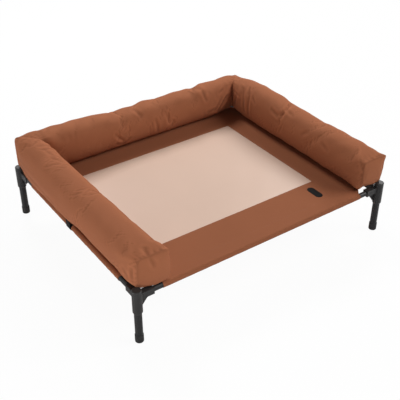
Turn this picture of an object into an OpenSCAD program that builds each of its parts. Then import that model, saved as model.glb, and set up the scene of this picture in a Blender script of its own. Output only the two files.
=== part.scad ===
// Raised dog cot: a tube frame on four legs, a stretched sling and a bolster on three sides.
// Millimetres. The origin is on the floor under the middle of the frame. X runs along the open
// front to the right, Y runs to the back and Z runs up.

/* [Frame] */
// Distance between the leg axes along the front
leg_span_x = 886; // [600:1:1200]
// Distance between the leg axes from front to back
leg_span_y = 734; // [500:1:1000]
// Height of the rail axes above the floor
rail_height = 154; // [110:1:260]
// Outside diameter of a rail tube
rail_d = 16; // [12:0.5:19]
// Wall of a rail tube
rail_wall = 1.2; // [0.8:0.1:2]
// How far the rail axes lie inside the leg axes
rail_inset = 6; // [4:0.5:8]

/* [Legs and feet] */
// Outside diameter of a leg tube
leg_d = 22; // [18:0.5:25]
// Wall of a leg tube
leg_wall = 1.2; // [0.8:0.1:2]
// Length of leg tube held in its corner post
leg_engagement = 38; // [25:1:45]
// Rubber round the end of a leg tube
foot_wall = 1.4; // [1.2:0.1:4]
// Rubber under the end of a leg tube
foot_base = 5; // [3:0.5:8]
// Height of a foot
foot_h = 25; // [16:1:40]
// Rounding of the lower edge of a foot
foot_round = 3; // [1:0.5:5]
// Bevel on the upper edge of a foot
foot_bevel = 0.8; // [0.2:0.1:1.2]

/* [Corners] */
// Plastic round a leg tube
post_wall = 3; // [2.5:0.5:6]
// Reach of a post below the rail axes
post_drop = 50; // [46:1:70]
// Reach of a post above the rail axes
post_rise = 26; // [15:1:40]
// Rounding of the upper edge of a post
post_round = 3; // [1:0.5:6]
// Height of the bevel at the lower end of a post
post_bevel = 3; // [1:0.5:4]
// Plastic round a rail tube
arm_wall = 2; // [1.5:0.5:4]
// Rounding of the long edges of an arm
arm_round = 1.5; // [1:0.5:4]
// Reach of an arm from the leg axis
arm_reach = 52; // [42:1:70]
// Plastic between a post and the end of a rail
rail_stop = 4; // [3:0.5:8]
// Thickness of the rib under an arm
rib_t = 6; // [3:0.5:10]
// Reach of the rib along the arm, past the post
rib_reach = 26; // [12:1:27]
// Reach of the rib down the post, below the arm
rib_drop = 31; // [12:1:33]

/* [Sling] */
// Thickness of the sling cloth
cloth_t = 0.8; // [0.5:0.1:1.5]
// Ease of a sleeve round its rail
sleeve_ease = 0.2; // [0.1:0.05:0.5]
// Distance from the leg axis to the end of a front or back sleeve
sleeve_setback_x = 82; // [70:1:120]
// Distance from the leg axis to the end of a side sleeve
sleeve_setback_y = 92; // [70:1:120]
// Slope of the cloth where a sleeve returns under the sling, in degrees
hem_slope = 30; // [25:1:45]
// Width of the strip sewn under the sling at the end of that return
hem_strip = 10; // [6:1:16]
// Visible length of the centre panel
panel_x = 582; // [300:1:640]
// Visible depth of the centre panel
panel_y = 446; // [250:1:500]
// Thickness of the centre panel
panel_t = 0.8; // [0.5:0.1:1.5]
// Width of the panel edge that lies under the sling cloth
panel_lap = 10; // [5:1:20]
// Width of the tape that binds a cut corner
binding_w = 10; // [6:1:16]
// Thickness of that tape
binding_t = 0.8; // [0.5:0.1:1.5]
// Distance from each end of a cut corner to its tape
binding_margin = 12; // [10:1:20]

/* [Label patch] */
// Length of the oval patch
label_l = 60; // [40:1:80]
// Width of the oval patch
label_w = 25; // [15:1:32]
// Thickness of the oval patch
label_t = 0.8; // [0.4:0.1:1.5]
// Distance from the right leg axes to the middle of the patch
label_from_side = 187; // [150:1:300]
// Distance from the front leg axes to the middle of the patch
label_from_front = 91; // [60:1:100]

/* [Straps] */
// Width of the straps
strap_w = 25; // [18:1:40]
// Thickness of the straps
strap_t = 1.5; // [1:0.1:2.5]
// Room beside a strap where the sling is cut out for it
strap_room = 1.5; // [0.5:0.1:4]
// How far the side straps lie behind the middle of the frame
strap_shift = 14; // [-40:1:40]

/* [Bolster] */
// Width of the bolster
bolster_w = 104; // [80:1:130]
// Height of the bolster
bolster_h = 121; // [95:1:150]
// Distance from the front leg axes to the front of the bolster
bolster_setback = 7; // [2:1:40]
// Squareness of its section, where 2 is an ellipse
bolster_power = 3; // [2.2:0.1:4]
// Squareness of its front ends
end_power = 3.8; // [2.2:0.1:5]
// How far each flank is drawn in at a front end
end_draw = 4; // [0:0.5:8]
// How far the top dips at a front end
end_dip = 10; // [0:0.5:16]
// How far the top dips at a mitred back corner
mitre_dip = 5; // [0:0.5:12]
// Distance over which an end or a mitre is drawn in
draw_length = 100; // [60:1:140]
// Height of the soft waves along the top
wave_h = 4; // [0:0.5:8]
// Length of one wave
wave_length = 300; // [150:1:400]
// Thickness of the cover
cover_t = 1.2; // [0.8:0.1:2]

/* [Hidden] */
$fn = 64;

// Radial clearance of a tube in its socket
tube_fit = 0.05;
// Clearance between pieces that lie on each other but come apart
lay_gap = 0.3;
// How far a cut runs past a face
over = 1;

// Half spans of the leg axes and of the rail axes
leg_x = leg_span_x / 2;
leg_y = leg_span_y / 2;
rail_x = leg_x - rail_inset;
rail_y = leg_y - rail_inset;

// Corners
post_r = leg_d / 2 + post_wall;
post_low = rail_height - post_drop;
post_top = rail_height + post_rise;
leg_top = post_low + leg_engagement;
arm_w = rail_d + 2 * arm_wall;
rail_end = post_r + rail_stop;

// Sling: the cloth lies level with the crown of the sleeves
sleeve_ri = rail_d / 2 + sleeve_ease;
sleeve_ro = sleeve_ri + cloth_t;
sling_top = rail_height + sleeve_ro;
sling_under = sling_top - cloth_t;
sleeve_x = leg_x - sleeve_setback_x;
sleeve_y = leg_y - sleeve_setback_y;

// Straps
wrap_ri = rail_d / 2 + tube_fit;
wrap_ro = wrap_ri + strap_t;
notch_half = strap_w / 2 + strap_room;
tab_in = wrap_ro + lay_gap;

// Bolster: its outer faces are flush with the corner posts
bolster_a = bolster_w / 2;
bolster_x = leg_x + post_r - bolster_a;
bolster_y = leg_y + post_r - bolster_a;
bolster_low = sling_top + lay_gap;
bolster_high = bolster_low + bolster_h;
bolster_mid = bolster_low + bolster_h / 2;
bolster_front = -leg_y + bolster_setback;
cover_front = bolster_front + cover_t;
// Rise of the underside that carries it over the posts
bolster_lift = post_top + lay_gap - bolster_low;
fill_inset = cover_t + lay_gap;
section_sides = 24;
side_steps = 15;
back_steps = 17;

// Colours
steel = "#3a3838";
plastic = "#3d3b3c";
rubber = "#2e2c2c";
brown = "#94603f";
beige = "#d8bcac";
webbing = "#1f1d1d";
fibre = "#eeeae2";

// Outlines

// Points on an arc about the origin
function arc(r, from, to, steps) =
    [for (i = [0:steps]) let (a = from + (to - from) * i / steps) r * [cos(a), sin(a)]];

// An arc moved to its centre
function arc_at(centre, r, from, to, steps) = [for (p = arc(r, from, to, steps)) centre + p];

module rounded_square(width, r) {
    square([width - 2 * r, width], center = true);
    square([width, width - 2 * r], center = true);
    for (x = [-1, 1], y = [-1, 1])
        translate([x, y] * (width / 2 - r)) circle(r);
}

// Half section of a post: bevelled below, rounded above
module post_outline() {
    lip_r = post_r - post_wall / 2;
    crown = arc_at([post_r - post_round, post_top - post_round], post_round, 0, 90, 8);
    polygon(concat(
        [[0, post_low], [lip_r, post_low], [post_r, post_low + post_bevel]], crown, [[0, post_top]]));
}

// Rib under an arm: u runs out along the arm, the free edge is nearly straight
module rib_outline() {
    arm_low = rail_height - arm_w / 2;
    tip = [post_r + rib_reach, arm_low];
    heel = [post_r, arm_low - rib_drop];
    bend = [post_r + rib_reach * 0.45, arm_low - rib_drop * 0.45];
    edge = [for (t = [0:0.125:1]) (1 - t) * (1 - t) * tip + 2 * t * (1 - t) * bend + t * t * heel];
    polygon(concat([[0, heel.y], [0, rail_height], [tip.x, rail_height]], edge));
}

// Half section of a foot with the blind hole for its leg
module foot_outline() {
    foot_r = leg_d / 2 + tube_fit + foot_wall;
    hole_r = leg_d / 2 + tube_fit;
    polygon(concat(
        [[0, 0]], arc_at([foot_r - foot_round, foot_round], foot_round, -90, 0, 8),
        [[foot_r, foot_h - foot_bevel], [foot_r - foot_bevel, foot_h], [hole_r, foot_h],
         [hole_r, foot_base], [0, foot_base]]));
}

// Section of a sleeve: u runs in from the rail axis, v runs up. The cloth comes over the rail,
// goes down round its outside and returns to the underside of the sling.
module sleeve_outline() {
    leave = hem_slope - 90;
    along = [cos(hem_slope), sin(hem_slope)];
    from_out = sleeve_ro * [cos(leave), sin(leave)];
    from_in = sleeve_ri * [cos(leave), sin(leave)];
    meet_out = from_out + along * (sleeve_ri - cloth_t - from_out.y) / along.y;
    meet_in = from_in + along * (sleeve_ri - from_in.y) / along.y;
    strip_end = meet_out.x + hem_strip;
    polygon(concat(
        arc(sleeve_ro, 90, 360 + leave, 28),
        [meet_out, [strip_end, sleeve_ri - cloth_t], [strip_end, sleeve_ri], meet_in],
        arc(sleeve_ri, 360 + leave, 90, 28)));
}

// Cut shape of the sling cloth
module sling_outline() {
    difference() {
        polygon([
            [-sleeve_x, -rail_y], [sleeve_x, -rail_y], [rail_x, -sleeve_y], [rail_x, sleeve_y],
            [sleeve_x, rail_y], [-sleeve_x, rail_y], [-rail_x, sleeve_y], [-rail_x, -sleeve_y]]);
        square([panel_x, panel_y], center = true);
        for (side = [-1, 1])
            translate([side * rail_x, strap_shift]) strap_cut_out();
        translate([0, rail_y]) rotate(90) strap_cut_out();
    }
}

module strap_cut_out() {
    square(2 * [wrap_ro + strap_room, notch_half], center = true);
}

// Section of the bolster as points [outward, height]: half width, lowest and highest point, squareness
function power_of(value, power) = sign(value) * pow(abs(value), 2 / power);
function section(half, low, high, power) = [
    for (k = [0:section_sides - 1])
        let (a = 360 * k / section_sides)
        let (rise = power_of(sin(a), power))
        [half * power_of(cos(a), power), bolster_mid + rise * (rise > 0 ? high - bolster_mid : bolster_mid - low)]
];

// 1 at an end, smoothly down to 0 at the draw length
function fade(distance) =
    let (t = min(max(distance / draw_length, 0), 1)) 1 - t * t * (3 - 2 * t);

// Section at a place along a run, from how near it is to a front end and to a mitre
function drawn_section(along, near_end, near_mitre, inset) = section(
    bolster_a - end_draw * near_end - inset,
    bolster_low + bolster_lift * max(near_end, near_mitre) + inset,
    bolster_high - end_dip * near_end - mitre_dip * near_mitre - inset
        + wave_h * (1 - near_end) * (1 - near_mitre) * sin(360 * along / wave_length),
    bolster_power + (end_power - bolster_power) * near_end);

// Even cosine steps, closer together near both ends of a run
function ease_step(i, steps) = (1 - cos(180 * i / steps)) / 2;

// Rings of the right run, from its front end to the mitre plane
function side_rings(inset, front) = [
    for (i = [0:side_steps])
        let (t = ease_step(i, side_steps), run = bolster_y - cover_front, along = t * run)
        [for (p = drawn_section(along, fade(along), fade(run - along), inset))
            [bolster_x + p.x, front + t * (bolster_y + p.x - front), p.y]]
];

// Rings of the back run, from mitre to mitre
function back_rings(inset) = [
    for (i = [0:back_steps])
        let (t = ease_step(i, back_steps), run = 2 * bolster_x, along = t * run)
        [for (p = drawn_section(along, 0, fade(min(along, run - along)), inset))
            [(2 * t - 1) * (bolster_x + p.x), bolster_y + p.x, p.y]]
];

function joined(lists) = [for (list = lists) each list];

// Triangles of a ring-to-ring wall whose points start at an offset
function wall_faces(steps, start) = [
    for (i = [0:steps - 1], k = [0:section_sides - 1])
        let (
            a = start + i * section_sides + k,
            b = start + i * section_sides + (k + 1) % section_sides,
            c = a + section_sides,
            d = b + section_sides)
        each [[a, b, d], [a, d, c]]
];

function turned(faces) = [for (f = faces) [f[2], f[1], f[0]]];

// Triangles of the rim between an outer and an inner ring
function rim_faces(outer, inner) = [
    for (k = [0:section_sides - 1])
        let (n = (k + 1) % section_sides)
        each [[outer + k, inner + k, inner + n], [outer + k, inner + n, outer + n]]
];

// Triangles that close a ring
function cap_faces(start) = [for (k = [1:section_sides - 2]) [start, start + k + 1, start + k]];

// Cloth tube between an outer and an inner set of rings
module sleeve_of_cloth(outer, inner) {
    steps = len(outer) - 1;
    half = len(outer) * section_sides;
    last = steps * section_sides;
    polyhedron(
        joined(concat(outer, inner)),
        concat(
            wall_faces(steps, 0), turned(wall_faces(steps, half)),
            rim_faces(0, half), turned(rim_faces(last, half + last))));
}

// Solid roll through a set of rings
module roll(rings) {
    steps = len(rings) - 1;
    polyhedron(
        joined(rings),
        concat(wall_faces(steps, 0), cap_faces(0), turned(cap_faces(steps * section_sides))));
}

// Height of the underside of the bolster above a place outward of its middle line
function underside(outward) =
    let (ring = section(bolster_a, bolster_low, bolster_high, bolster_power))
    lookup(outward, [for (k = [section_sides * 3 / 4:section_sides - 1]) ring[k]]);

// Frame

// Moves what is drawn for the front left corner to any corner
module at_corner(x, y) {
    translate([x * leg_x, y * leg_y, 0])
        mirror([x > 0 ? 1 : 0, 0, 0]) mirror([0, y > 0 ? 1 : 0, 0]) children();
}

// Lays a drawing along X or along Y from a leg axis, at the rail's inset
module along_x() { translate([0, rail_inset, 0]) rotate([90, 0, 90]) children(); }
module along_y() { mirror([1, -1, 0]) along_x() children(); }

module tube(d, wall, h) {
    difference() {
        cylinder(d = d, h = h);
        translate([0, 0, -over]) cylinder(d = d - 2 * wall, h = h + 2 * over);
    }
}

module rail_along_x(y) {
    length = 2 * (leg_x - rail_end);
    color(steel) translate([-length / 2, y * rail_y, rail_height]) rotate([0, 90, 0])
        tube(rail_d, rail_wall, length);
}

module rail_along_y(x) {
    length = 2 * (leg_y - rail_end);
    color(steel) translate([x * rail_x, length / 2, rail_height]) rotate([90, 0, 0])
        tube(rail_d, rail_wall, length);
}

// Arm and rib drawn in the plane that along_x and along_y lay down
module arm() {
    translate([0, rail_height, 0]) linear_extrude(arm_reach) rounded_square(arm_w, arm_round);
    translate([rib_t / 2, 0, 0]) rotate([0, -90, 0]) linear_extrude(rib_t) rib_outline();
}

module rail_socket() {
    translate([0, rail_height, rail_end])
        cylinder(r = rail_d / 2 + tube_fit, h = arm_reach - rail_end + over);
}

module corner(x, y) {
    color(plastic) at_corner(x, y) difference() {
        union() {
            rotate_extrude() post_outline();
            along_x() arm();
            along_y() arm();
        }
        along_x() rail_socket();
        along_y() rail_socket();
        translate([0, 0, post_low - over])
            cylinder(r = leg_d / 2 + tube_fit, h = leg_engagement + tube_fit + over);
    }
}

module leg(x, y) {
    color(steel) at_corner(x, y) translate([0, 0, foot_base]) tube(leg_d, leg_wall, leg_top - foot_base);
}

module foot(x, y) {
    color(rubber) at_corner(x, y) rotate_extrude() foot_outline();
}

// Sling

module sling_border() {
    color(brown) translate([0, 0, sling_under]) linear_extrude(cloth_t) sling_outline();
}

module centre_panel() {
    color(beige) translate([0, 0, sling_under - panel_t]) linear_extrude(panel_t)
        square([panel_x, panel_y] + 2 * [panel_lap, panel_lap], center = true);
}

// Tapes under the four cut corners
module corner_bindings() {
    cut = [rail_x - sleeve_x, rail_y - sleeve_y];
    color(brown) for (mx = [0, 1], my = [0, 1])
        mirror([mx, 0, 0]) mirror([0, my, 0])
            translate([sleeve_x, -rail_y, sling_under - binding_t]) rotate(atan2(cut.y, cut.x))
                translate([binding_margin, 0, 0])
                    cube([norm(cut) - 2 * binding_margin, binding_w, binding_t]);
}

module label_patch() {
    straight = label_l - label_w;
    color(webbing) translate([leg_x - label_from_side, label_from_front - leg_y, sling_top])
        linear_extrude(label_t) {
            square([label_w, straight], center = true);
            for (end = [-1, 1]) translate([0, end * straight / 2]) circle(d = label_w);
        }
}

// Sleeve round the front or the back rail between two places along X
module sleeve_along_x(y, from, to) {
    color(brown) mirror([0, y > 0 ? 1 : 0, 0]) translate([from, -rail_y, rail_height])
        rotate([90, 0, 90]) linear_extrude(to - from) sleeve_outline();
}

// Sleeve round a side rail between two places along Y
module sleeve_along_y(x, from, to) {
    color(brown) mirror([x > 0 ? 1 : 0, 0, 0]) translate([-rail_x, to, rail_height])
        rotate([90, 0, 0]) linear_extrude(to - from) sleeve_outline();
}

// Straps

module wrap() {
    translate([0, 0, -strap_w / 2]) tube(2 * wrap_ro, strap_t, strap_w);
}

module side_rail_wrap(x) {
    color(webbing) translate([x * rail_x, strap_shift, rail_height]) rotate([90, 0, 0]) wrap();
}

module back_rail_wrap() {
    color(webbing) translate([0, rail_y, rail_height]) rotate([0, 90, 0]) wrap();
}

// Tab drawn on the right side of the frame: it hangs under the bolster, outside the wrap
module tab(rail, bolster, shift) {
    low = rail_height - rail_d / 2;
    high = underside(rail + tab_in - bolster) - lay_gap;
    translate([rail + tab_in, shift - strap_w / 2, low]) cube([strap_t, strap_w, high - low]);
}

module side_strap_tab(x) {
    color(webbing) mirror([x > 0 ? 0 : 1, 0, 0]) tab(rail_x, bolster_x, strap_shift);
}

module back_strap_tab() {
    color(webbing) rotate(90) tab(rail_y, bolster_y, 0);
}

// Bolster

// Moves what is drawn for the right side to either side
module on_side(x) {
    mirror([x > 0 ? 0 : 1, 0, 0]) children();
}

module side_bolster_cover(x) {
    color(brown) on_side(x) sleeve_of_cloth(side_rings(0, cover_front), side_rings(cover_t, cover_front));
}

module back_bolster_cover() {
    color(brown) sleeve_of_cloth(back_rings(0), back_rings(cover_t));
}

module side_bolster_fill(x) {
    color(fibre) on_side(x) roll(side_rings(fill_inset, cover_front + lay_gap));
}

module back_bolster_fill() {
    color(fibre) roll(back_rings(fill_inset));
}

// Flat panel sewn over a front end
module end_panel(x) {
    color(brown) on_side(x) translate([bolster_x, cover_front, 0]) rotate([90, 0, 0])
        linear_extrude(cover_t) polygon(drawn_section(0, 1, 0, 0));
}

rail_along_x(-1);  // front_rail
rail_along_x(1);  // back_rail
rail_along_y(-1);  // left_rail
rail_along_y(1);  // right_rail
corner(-1, -1);  // front_left_corner
corner(1, -1);  // front_right_corner
corner(-1, 1);  // back_left_corner
corner(1, 1);  // back_right_corner
leg(-1, -1);  // front_left_leg
leg(1, -1);  // front_right_leg
leg(-1, 1);  // back_left_leg
leg(1, 1);  // back_right_leg
foot(-1, -1);  // front_left_foot
foot(1, -1);  // front_right_foot
foot(-1, 1);  // back_left_foot
foot(1, 1);  // back_right_foot
sling_border();
centre_panel();
corner_bindings();
label_patch();
sleeve_along_x(-1, -sleeve_x, sleeve_x);  // front_sleeve
sleeve_along_x(1, -sleeve_x, -notch_half);  // back_left_sleeve
sleeve_along_x(1, notch_half, sleeve_x);  // back_right_sleeve
sleeve_along_y(-1, -sleeve_y, strap_shift - notch_half);  // left_front_sleeve
sleeve_along_y(-1, strap_shift + notch_half, sleeve_y);  // left_back_sleeve
sleeve_along_y(1, -sleeve_y, strap_shift - notch_half);  // right_front_sleeve
sleeve_along_y(1, strap_shift + notch_half, sleeve_y);  // right_back_sleeve
side_rail_wrap(-1);  // left_rail_wrap
side_rail_wrap(1);  // right_rail_wrap
back_rail_wrap();
side_strap_tab(-1);  // left_strap_tab
side_strap_tab(1);  // right_strap_tab
back_strap_tab();
side_bolster_cover(-1);  // left_bolster_cover
side_bolster_cover(1);  // right_bolster_cover
back_bolster_cover();
side_bolster_fill(-1);  // left_bolster_fill
side_bolster_fill(1);  // right_bolster_fill
back_bolster_fill();
end_panel(-1);  // left_end_panel
end_panel(1);  // right_end_panel
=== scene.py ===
# %% [markdown]
# A raised dog cot: black tubes in four moulded corners, a sling of brown cloth stretched over them with
# a smooth beige panel in its middle, and a stuffed bolster along three sides. The solids come from
# OpenSCAD, and MuJoCo moves them. This lesson dresses them in Blender. The hard pieces keep their solids
# and get finishes. All that is sewn is made again here, as cloth.

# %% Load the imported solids
import math

import bmesh
import bpy
import numpy as np
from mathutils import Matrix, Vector


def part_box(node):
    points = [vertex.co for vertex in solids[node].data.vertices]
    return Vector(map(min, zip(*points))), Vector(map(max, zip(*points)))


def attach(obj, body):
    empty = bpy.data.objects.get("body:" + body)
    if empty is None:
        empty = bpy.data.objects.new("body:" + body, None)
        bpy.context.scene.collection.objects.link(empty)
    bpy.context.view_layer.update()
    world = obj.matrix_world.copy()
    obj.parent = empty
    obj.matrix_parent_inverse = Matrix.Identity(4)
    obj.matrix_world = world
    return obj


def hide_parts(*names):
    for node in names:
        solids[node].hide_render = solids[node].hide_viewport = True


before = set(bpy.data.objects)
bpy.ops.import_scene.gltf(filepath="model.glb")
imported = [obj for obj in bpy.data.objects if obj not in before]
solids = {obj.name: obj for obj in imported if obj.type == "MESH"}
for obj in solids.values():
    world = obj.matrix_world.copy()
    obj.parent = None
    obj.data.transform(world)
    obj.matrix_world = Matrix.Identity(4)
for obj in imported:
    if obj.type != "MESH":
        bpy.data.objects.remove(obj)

MM = 0.001
# A full turn in radians, near enough for waves
FULL_TURN = 6.28
scene = bpy.context.scene
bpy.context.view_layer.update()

# %% [markdown]
# The camera comes first, because everything is judged through it. The frame's leg axes, feet and panel
# corners fix where it stood: in front of the left end and a good metre above the seat, with a long lens
# that keeps the far side almost as large as the near one.

# %% Camera
CAMERA_PLACE = (-1.1408, -1.6469, 1.4551)
CAMERA_DOWN = 34.46
CAMERA_TURN = -35.03
CAMERA_LENS, CAMERA_SENSOR = 67.13, 36


def put(name, data):
    """A new object in the scene, at the origin."""
    made = bpy.data.objects.new(name, data)
    scene.collection.objects.link(made)
    return made


lens = bpy.data.cameras.new("camera")
lens.lens = CAMERA_LENS
lens.sensor_width = CAMERA_SENSOR
camera = put("camera", lens)
camera.location = CAMERA_PLACE
camera.rotation_euler = (math.radians(90 - CAMERA_DOWN), 0, math.radians(CAMERA_TURN))
scene.camera = camera
scene.view_settings.view_transform = "Standard"
print("camera", [round(v, 3) for v in camera.location])

# %% [markdown]
# A finish is a small network of nodes. Written as sums it stays readable, so one class wraps an output
# socket and turns plain arithmetic into Math nodes, and another holds a material and adds any other node.
# What changes over a surface feeds the colour, the roughness or the bump. Fixed numbers are set on the
# shader itself.

# %% Shader sums
class Wire:
    """One output of a node. Arithmetic with numbers or other wires adds Math nodes."""

    def __init__(self, finish, socket):
        self.finish = finish
        self.socket = socket

    def maths(self, operation, first, second=0.0):
        return self.finish.node("ShaderNodeMath", {"operation": operation}, {0: first, 1: second})

    def __add__(self, other):
        return self.maths("ADD", self, other)

    def __radd__(self, other):
        return self.maths("ADD", other, self)

    def __rsub__(self, other):
        return self.maths("SUBTRACT", other, self)

    def __mul__(self, other):
        return self.maths("MULTIPLY", self, other)

    def __rmul__(self, other):
        return self.maths("MULTIPLY", other, self)

    def sine(self):
        return self.maths("SINE", self)

    def size(self):
        return self.maths("ABSOLUTE", self)


class Finish:
    """A material with one main shader."""

    def __init__(self, name, **fixed):
        self.material = bpy.data.materials.new(name)
        self.material.use_nodes = True
        self.tree = self.material.node_tree
        self.shader = self.tree.nodes["Principled BSDF"]
        for socket, value in fixed.items():
            self.feed(socket.replace("_", " ").title(), value)

    def node(self, kind, settings=None, sockets=None, out=0):
        """Add a node, set its settings and then its sockets, and give back one output."""
        made = self.tree.nodes.new(kind)
        for setting, value in (settings or {}).items():
            setattr(made, setting, value)
        for socket, value in (sockets or {}).items():
            self.join(made.inputs[socket], value)
        return Wire(self, made.outputs[out])

    def join(self, socket, value):
        if isinstance(value, Wire):
            self.tree.links.new(value.socket, socket)
        else:
            socket.default_value = value

    def feed(self, socket, value):
        self.join(self.shader.inputs[socket], value)

    def places(self):
        return self.node("ShaderNodeTexCoord", out="Object")

    def cloth_map(self):
        """The place on the flat cloth, across and along, in metres."""
        spot = self.node("ShaderNodeUVMap", {"uv_map": "cloth"})
        parts = self.node("ShaderNodeSeparateXYZ", None, {0: spot})
        return parts, Wire(self, parts.socket.node.outputs[1])

    def noise(self, where, per_metre, detail=2.0, rough=0.5):
        sockets = {"Vector": where, "Scale": per_metre, "Detail": detail, "Roughness": rough}
        return self.node("ShaderNodeTexNoise", None, sockets, "Fac")

    def tint(self, amount, first, second):
        sockets = {"Factor": amount, 6: first, 7: second}
        return self.node("ShaderNodeMix", {"data_type": "RGBA"}, sockets, 2)

    def bump(self, height, depth, strength=1.0):
        sockets = {"Height": height, "Distance": depth, "Strength": strength}
        self.feed("Normal", self.node("ShaderNodeBump", None, sockets))


def shade(colour, factor):
    """A colour made lighter or darker, with its alpha."""
    return tuple(c * factor for c in colour[:3]) + (1.0,)


# %% [markdown]
# The backdrop is a plain white sweep. Only camera rays, reflections and clear materials see the world as
# white; the light that falls on the cot stays at a plain level, so a colour renders about as written. The
# floor glows softly for the camera and keeps a faint shadow of the cot.

# %% Backdrop and floor
AMBIENT = 0.014
FLOOR_SIZE, FLOOR_DROP, FLOOR_GLOW = 14, 0.2 * MM, 0.955


def primitive(add, name, **settings):
    """What one of Blender's operators for primitives adds, alone in the selection."""
    bpy.ops.object.select_all(action="DESELECT")
    add(**settings)
    made = bpy.context.object
    made.name = name
    return made


world = bpy.data.worlds.new("studio")
world.use_nodes = True
world_tree = world.node_tree
path = world_tree.nodes.new("ShaderNodeLightPath")
seen = world_tree.nodes.new("ShaderNodeMath")
seen.operation = "MAXIMUM"
clear = world_tree.nodes.new("ShaderNodeMath")
clear.operation = "MAXIMUM"
level = world_tree.nodes.new("ShaderNodeMapRange")
level.inputs["To Min"].default_value = AMBIENT
level.inputs["To Max"].default_value = 1.0
world_tree.links.new(path.outputs["Is Camera Ray"], seen.inputs[0])
world_tree.links.new(path.outputs["Is Glossy Ray"], seen.inputs[1])
world_tree.links.new(seen.outputs[0], clear.inputs[0])
world_tree.links.new(path.outputs["Is Transmission Ray"], clear.inputs[1])
world_tree.links.new(clear.outputs[0], level.inputs["Value"])
world_tree.links.new(level.outputs[0], world_tree.nodes["Background"].inputs["Strength"])
world_tree.nodes["Background"].inputs["Color"].default_value = (1, 1, 1, 1)
scene.world = world

floor = primitive(bpy.ops.mesh.primitive_plane_add, "studio_floor", size=FLOOR_SIZE,
                  location=(0, 0, -FLOOR_DROP))
floor_finish = Finish("floor_white", base_color=(0.9, 0.9, 0.9, 1), roughness=0.9)
glow = floor_finish.node("ShaderNodeEmission", None, {"Color": (1, 1, 1, 1), "Strength": 1.0})
seen_floor = floor_finish.node("ShaderNodeLightPath", out="Is Camera Ray") * FLOOR_GLOW
both = floor_finish.node("ShaderNodeMixShader", None, {0: seen_floor, 2: glow})
floor_finish.tree.links.new(floor_finish.shader.outputs[0], both.socket.node.inputs[1])
floor_finish.tree.links.new(both.socket, floor_finish.tree.nodes["Material Output"].inputs[0])
floor.data.materials.append(floor_finish.material)
print("floor", floor.name)

# %% [markdown]
# The photograph is lit like a catalogue page, from all round. The bolster's inner faces and the strips of
# cloth beside it are dark, so the broad soft lights stand behind it and to the right. Low white cards on
# the left and by the near corner lift the outer side and the front end.

# %% Lamps
COT_MIDDLE = 0.2


def softbox(name, place, width, watts):
    """A square area lamp that looks at the middle of the cot."""
    lamp = bpy.data.lights.new(name, "AREA")
    lamp.energy = watts
    lamp.size = width
    holder = put(name, lamp)
    holder.location = place
    aim = holder.location.copy()
    aim.z -= COT_MIDDLE
    holder.rotation_euler = aim.to_track_quat("Z", "Y").to_euler()
    return holder


LAMPS = [
    softbox("back_softbox", (0.2, 2.2, 2.55), 1.0, 56),
    softbox("back_right_softbox", (4.2, 2.8, 4.0), 1.8, 105),
    softbox("front_right_softbox", (3.8, -2.7, 4.0), 3.0, 206),
    softbox("left_softbox", (-4.4, 0.3, 1.0), 2.0, 13),
    softbox("left_card", (-2.0, -0.1, 0.3), 0.6, 9.5),
    softbox("front_left_card", (-0.9, -1.5, 0.6), 0.5, 5),
]
print("lamps", [lamp.name for lamp in LAMPS])

# %% [markdown]
# The cloth is a brown oxford weave. Its threads go over and under each other, four of them in three
# millimetres. Seen close it is a fine basket, from far a soft dull brown with a little drift in its dye.
# Folds rub pale on their ridges, while their grooves and seams get painted shade, so the bolster carries a
# map of both.
# The sling and the bolster get a darker and a lighter copy of the brown: painted shade and painted light.

# %% Brown cloth
BROWN = (0.335, 0.120, 0.058, 1)
THREAD_PITCH = 0.75 * MM


def basket(across, along, pitch):
    """Height of a plain weave, from -1 to 1."""
    turn = math.pi / pitch
    return (across * turn).sine() * (along * turn).sine()


def brown_cloth(name, brown, wear_and_painted_shade):
    """The weave in one shade of brown. With the map, ridges rub pale and grooves and seams get painted shade.
    """
    finish = Finish(name)
    finish.feed("Specular IOR Level", 0.05)
    finish.feed("Sheen Weight", 0.015)
    across, along = finish.cloth_map()
    weave = basket(across, along, THREAD_PITCH)
    where = finish.places()
    dye = finish.noise(where, 7.0, 3.0)
    slub = finish.noise(where, 420.0, 1.0)
    body = finish.tint(dye, shade(brown, 0.90), shade(brown, 1.10))
    threads = finish.tint(weave.size() * 0.5 + slub * 0.5, shade(brown, 0.86), shade(brown, 1.14))
    colour = finish.tint(0.5, body, threads)
    if wear_and_painted_shade:
        # Ridges of the map rub pale from wear; grooves and seams are darkened as painted shade
        wear_and_shade = finish.node("ShaderNodeAttribute", {"attribute_name": "wear_and_painted_shade"}, out="Fac")
        ridge = finish.node("ShaderNodeClamp", None, {0: wear_and_shade})
        groove = finish.node("ShaderNodeClamp", None, {0: 0.0 - wear_and_shade})
        colour = finish.tint(ridge * 0.35, colour, shade(brown, 1.45))
        colour = finish.tint(groove * 0.45, colour, shade(brown, 0.55))
    finish.feed("Base Color", colour)
    finish.feed("Roughness", 0.70 + 0.16 * slub)
    finish.bump(weave * 0.6 + slub * 0.8, 0.10 * MM, 0.7)
    return finish.material


# One brown in two copies: the sling's is darkened as painted shade and the bolster's lightened as painted
# light
sling_brown_painted_darker = brown_cloth("sling_cloth", shade(BROWN, 0.94), False)
bolster_brown_painted_lighter = brown_cloth("bolster_cloth", shade(BROWN, 1.10), True)
print("cloth finishes", sling_brown_painted_darker.name, bolster_brown_painted_lighter.name)

# %% [markdown]
# The middle panel is a coated beige mesh, pulled flat: a fine even weave with a faint gloss that mirrors
# the dark corner of the bolster behind it.

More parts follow.
